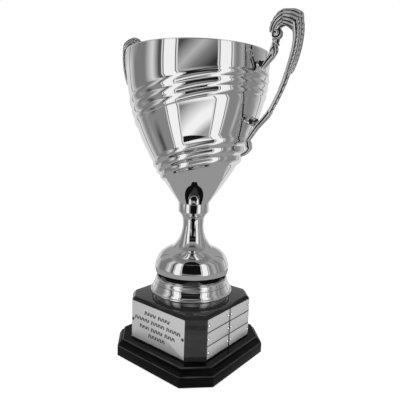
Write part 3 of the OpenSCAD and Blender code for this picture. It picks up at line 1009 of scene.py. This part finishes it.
class Sky(Nodes):
    """The studio seen in the silver: greys by azimuth from the camera and by elevation, in degrees."""

    def __init__(self):
        world = bpy.data.worlds.new("studio")
        bpy.context.scene.world = world
        world.use_nodes = True
        world.cycles.sampling_method = "NONE"
        self.tree = world.node_tree
        self.tree.nodes.clear()
        direction = self.node("TexCoord").outputs["Generated"]
        a = math.radians(CAMERA_AZIMUTH)
        ahead = self.dot(direction, (math.sin(a), -math.cos(a), 0))
        across = self.dot(direction, (math.cos(a), math.sin(a), 0))
        up = self.dot(direction, (0, 0, 1))
        self.azimuth = self.math("MULTIPLY", self.math("ARCTAN2", across, ahead), 180 / math.pi)
        self.elevation = self.math("MULTIPLY", self.math("ARCSINE", up), 180 / math.pi)

    def work_out(self, kind, operation, a, b):
        """A node that works on two values."""
        node = self.node(kind)
        node.operation = operation
        self.feed(node, 0, a)
        self.feed(node, 1, b)
        return node

    def dot(self, vector, axis):
        return self.work_out("VectorMath", "DOT_PRODUCT", vector, axis).outputs["Value"]

    def math(self, operation, a, b=0.0):
        return self.work_out("Math", operation, a, b).outputs[0]

    def ramp(self, value, stops):
        """Greys at given places along a value, with smooth change between them."""
        low, high = stops[0][0], stops[-1][0]
        ramp = self.node("ValToRGB", Fac=self.rescale(value, (low, high)))
        ramp.color_ramp.interpolation = "LINEAR"
        elements = ramp.color_ramp.elements
        elements.remove(elements[1])
        for k, (place, level) in enumerate(stops):
            share = (place - low) / (high - low)
            stop = elements[0] if k == 0 else elements.new(share)
            stop.position = share
            stop.color = (*mono(silvered(level)), 1)
        return ramp.outputs["Color"]

    def rise(self, value, edge, soft):
        """0 below the edge, 1 above it."""
        return self.rescale(value, (edge - soft / 2, edge + soft / 2))

    def window(self, azimuth, elevation, soft):
        """1 inside a window of azimuth and elevation, 0 outside it."""
        inside = 1.0
        for value, (low, high), blur in zip((self.azimuth, self.elevation), (azimuth, elevation), soft):
            inside = self.math("MULTIPLY", inside, self.rise(value, low, blur))
            below = self.math("SUBTRACT", 1.0, self.rise(value, high, blur))
            inside = self.math("MULTIPLY", inside, below)
        return inside

    def over(self, mask, below, above):
        """One colour laid over another. This node's colour sockets are only found by number."""
        node = self.node("Mix", Factor=mask)
        node.data_type = "RGBA"
        self.feed(node, 6, below)
        self.feed(node, 7, above)
        return node.outputs[2]


# Greys of the studio, and where its walls change on the way round: [azimuth from the camera, grey]
WHITE, PALE, LIGHT, MIDDLE, DIM, DARK, BLACK = 237, 208, 172, 148, 118, 75, 28
WALLS = [
    (-180, PALE), (-132, PALE), (-115, DIM), (-90, DIM), (-74, PALE), (-62, DARK), (-30, MIDDLE),
    (56, MIDDLE), (62, DIM), (74, LIGHT), (84, DIM), (90, MIDDLE), (96, DIM), (112, MIDDLE), (132, PALE),
    (180, PALE),
]  # fmt: skip
CEILING = [(44, MIDDLE), (60, DIM), (75, DIM), (90, MIDDLE)]
CEILING_FROM, CEILING_BLUR = 46, 8
# Soft diagonals behind the camera: azimuth, elevation, slope, [elevation of a line at azimuth 0, its grey]
DIAGONALS = [
    ((-31, 29.4), (-5, 20), 0.46, [(-6, 54), (5, DIM), (14, LIGHT), (28, DARK)]),
    ((-34, 33), (-70, -5), 0.33, [(-46, MIDDLE), (-38, WHITE), (-32, WHITE), (-15, DIM)]),
]
DIAGONAL_BLUR = (0.8, 1.5)
# The two upright strip boxes, from edge to edge, each with a pale rim and a thin dark frame
STRIP_BOXES = [(-57.6, -31), (29.2, 55)]
STRIP_TALL = (-70, 47)
STRIP_BLUR = (0.6, 4)
STRIP_RIM = 2.5
STRIP_FRAME = 1.6
FRAME_GREY = 95
# Panels and flags: azimuth, elevation, blur of each, grey
PANELS = [
    ((-118, -57), (-70, -10), (6, 8), 128),
    ((56, 118), (-70, -10), (6, 8), 128),
    ((-91, -80), (-62, -27), (8, 10), DARK),
    ((-108, -101), (-60, -20), (6, 10), MIDDLE),
    ((74, 79), (-32, -12), (4, 8), LIGHT),
    ((-200, -110), (12, 50), (8, 8), MIDDLE),
    ((110, 200), (12, 50), (8, 8), MIDDLE),
    ((-31, 29), (19.5, 44), (2, 2), BLACK),
    ((-29, 27), (28.6, 31.2), (2, 1), DARK),
    ((-31, 29), (53, 59), (4, 3), DARK),
    ((-136, -133.6), (-70, 40), (1, 6), DARK),
    ((131.6, 134), (-70, 40), (1, 6), DARK),
]  # fmt: skip


def strip_panels(left, right):
    """The panels that draw one strip box: pale rim, dark frame, white box, dark frame, pale rim."""
    edges = [left, left + STRIP_RIM, left + STRIP_RIM + STRIP_FRAME]
    edges += [right - STRIP_RIM - STRIP_FRAME, right - STRIP_RIM, right]
    greys = (PALE, FRAME_GREY, WHITE, FRAME_GREY, PALE)
    return [((a, b), STRIP_TALL, STRIP_BLUR, level) for a, b, level in zip(edges, edges[1:], greys)]


def studio_sky():
    sky = Sky()
    colour = sky.ramp(sky.azimuth, WALLS)
    above = sky.rise(sky.elevation, CEILING_FROM, CEILING_BLUR)
    colour = sky.over(above, colour, sky.ramp(sky.elevation, CEILING))
    for azimuth, elevation, slope, stops in DIAGONALS:
        slanted = sky.math("SUBTRACT", sky.elevation, sky.math("MULTIPLY", sky.azimuth, slope))
        colour = sky.over(sky.window(azimuth, elevation, DIAGONAL_BLUR), colour, sky.ramp(slanted, stops))
    for azimuth, elevation, soft, level in PANELS + [p for box in STRIP_BOXES for p in strip_panels(*box)]:
        colour = sky.over(sky.window(azimuth, elevation, soft), colour, (*mono(silvered(level)), 1))
    glossy = sky.node("LightPath").outputs["Is Glossy Ray"]
    colour = sky.over(glossy, (1.0, 1.0, 1.0, 1), colour)
    background = sky.node("Background", Color=colour)
    sky.node("OutputWorld", Surface=background.outputs[0])


def glow(name, level, lit=0.0):
    """A surface that gives off an even grey, and takes some light as well."""
    light = {"Emission_Color": (1, 1, 1, 1), "Emission_Strength": level}
    return Look(name, Base_Color=(*mono(lit), 1), Roughness=1, Specular_IOR_Level=0, **light).material


def stage_piece(bm, name, material, seen_by_camera):
    piece = put_in(name, mesh_from(bm, name, [material]))
    piece.visible_camera = seen_by_camera
    piece.visible_glossy = not seen_by_camera
    if not seen_by_camera:
        piece.visible_diffuse = False
        piece.visible_shadow = False


def strip(edges, steps):
    """A sheet between two arcs round the trophy: [radius, height, azimuths from the camera] of each."""
    bm = bmesh.new()
    rows = []
    for radius, z, start, stop in edges:
        angles = [math.radians(lerp(start, stop, k / steps) + CAMERA_AZIMUTH - 90) for k in range(steps + 1)]
        rows.append([bm.verts.new((radius * math.cos(a), radius * math.sin(a), z)) for a in angles])
    grid(bm, rows)
    return bm


def disc(radius_in, radius_out, start, stop, z):
    """Part of a flat ring round the trophy."""
    return strip([(radius_in, z, start, stop), (radius_out, z, start, stop)], 64)


def flag(radius, low, high):
    """A small upright black card between the trophy and the camera. low and high are [height, half angle]."""
    return strip([(radius, z, -half_angle, half_angle) for z, half_angle in (low, high)], 12)


NEAR_FLOOR_R = 0.382  # radius of the grey floor that the silver sees


def stage():
    """The pale floor, and what only the silver sees: a grey floor with a dark line, and black cards."""
    grey_floor, black = glow("grey_floor", silvered(143)), glow("black_flag", silvered(22))
    stage_piece(disc(0, 12, 0, 360, -0.0002), "floor", glow("pale_floor", 0.8, lit=0.3), True)
    for name, sheet, material in (
        ("floor_in_the_silver", disc(0, NEAR_FLOOR_R, 0, 360, 0), grey_floor),
        ("floor_behind", disc(NEAR_FLOOR_R, 0.45, 57, 303, 0), grey_floor),
        ("floor_front_line", disc(NEAR_FLOOR_R, 0.475, -27, 27, 0.001), glow("dark_line", silvered(30))),
        ("plinth_flag", disc(0.08, 0.104, -180, 180, 0.0985), black),
        ("stem_flag", flag(0.074, (0.183, 20), (0.225, 8)), black),
        ("knop_flag", flag(0.08, (0.151, 17), (0.179, 17)), black),
        ("collar_flag", flag(0.036, (0.233, 15), (0.2525, 15)), black),
    ):
        stage_piece(sheet, name, material, False)


def soft_light(name, azimuth, elevation, distance, size, power):
    """A soft box that lights the trophy without showing in the silver."""
    data = bpy.data.lights.new(name, "AREA")
    data.shape = "RECTANGLE"
    data.size = data.size_y = size
    data.energy = power
    lamp = put_in(name, data)
    a, e = math.radians(azimuth + CAMERA_AZIMUTH - 90), math.radians(elevation)
    place = Vector((math.cos(e) * math.cos(a), math.cos(e) * math.sin(a), math.sin(e))) * distance
    target = Vector((0, 0, cad_hi.z / 3))
    lamp.location = target + place
    lamp.rotation_euler = (-place).to_track_quat("-Z", "Y").to_euler()
    lamp.visible_glossy = False
    lamp.visible_camera = False


def camera():
    a = math.radians(CAMERA_AZIMUTH)
    place = Vector((math.sin(a) * CAMERA_DISTANCE, -math.cos(a) * CAMERA_DISTANCE, CAMERA_HEIGHT)) * MM
    facing = a + math.radians(CAMERA_PAN)
    pitch, roll_by = math.radians(CAMERA_PITCH), math.radians(CAMERA_ROLL)
    ahead = Vector((-math.sin(facing) * math.cos(pitch), math.cos(facing) * math.cos(pitch), math.sin(pitch)))
    right = Vector((math.cos(facing), math.sin(facing), 0))
    up = right.cross(ahead)
    right, up = (
        right * math.cos(roll_by) + up * math.sin(roll_by),
        up * math.cos(roll_by) - right * math.sin(roll_by),
    )
    data = bpy.data.cameras.new("camera")
    data.lens = CAMERA_LENS
    data.sensor_width = 36
    data.clip_start = 0.01
    eye = put_in("camera", data)
    turn = Matrix((right, up, -ahead)).transposed().to_4x4()
    eye.matrix_world = Matrix.Translation(place) @ turn
    bpy.context.scene.camera = eye


# ---------- build ----------


STEEL_NODES = (
    "base_screws", "rod_washer_lower", "rod_nut_lower", "centre_rod", "rod_washer_upper", "rod_nut_upper",
    "handle_washers", "handle_screws",
)  # fmt: skip


def keep_cad_nodes():
    """Materials for the fixings and the felt, which keep their CAD shape."""
    for node in ("felt_pad", *STEEL_NODES):
        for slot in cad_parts[node].material_slots:
            slot.material = STEEL if node in STEEL_NODES else FELT


def plates():
    plate("plaque_sheet", "plaque", "front")
    engraved_lines()
    pins("plaque_pin_heads", ["plaque"], "front", DARK_PIN, "plaque_pins")
    names = [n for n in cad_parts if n.startswith("record_plate_")]
    for side in RECORD_SIDES:
        own = sorted(n for n in names if n.startswith(f"record_plate_{side}_"))
        for node in own:
            plate(f"{node}_sheet", node, side, trim=PLATE_TRIM)
        pins(f"plate_pin_heads_{side}", own, side, PAINTED_HIGHLIGHT_PIN, f"plate_pins_{side}")


keep_cad_nodes()
for build in (foot_knop_and_stem, collar, bowl, plinth_base, plinth_block, plates):
    build()
for side_name, direction in (("right", 1), ("left", -1)):
    handle(side_name, direction)
stage()
soft_light("key", azimuth=-50, elevation=40, distance=1.6, size=1.2, power=6)
soft_light("fill", azimuth=60, elevation=25, distance=1.8, size=1.2, power=6)
studio_sky()
camera()
bpy.context.scene.view_settings.view_transform = "Standard"
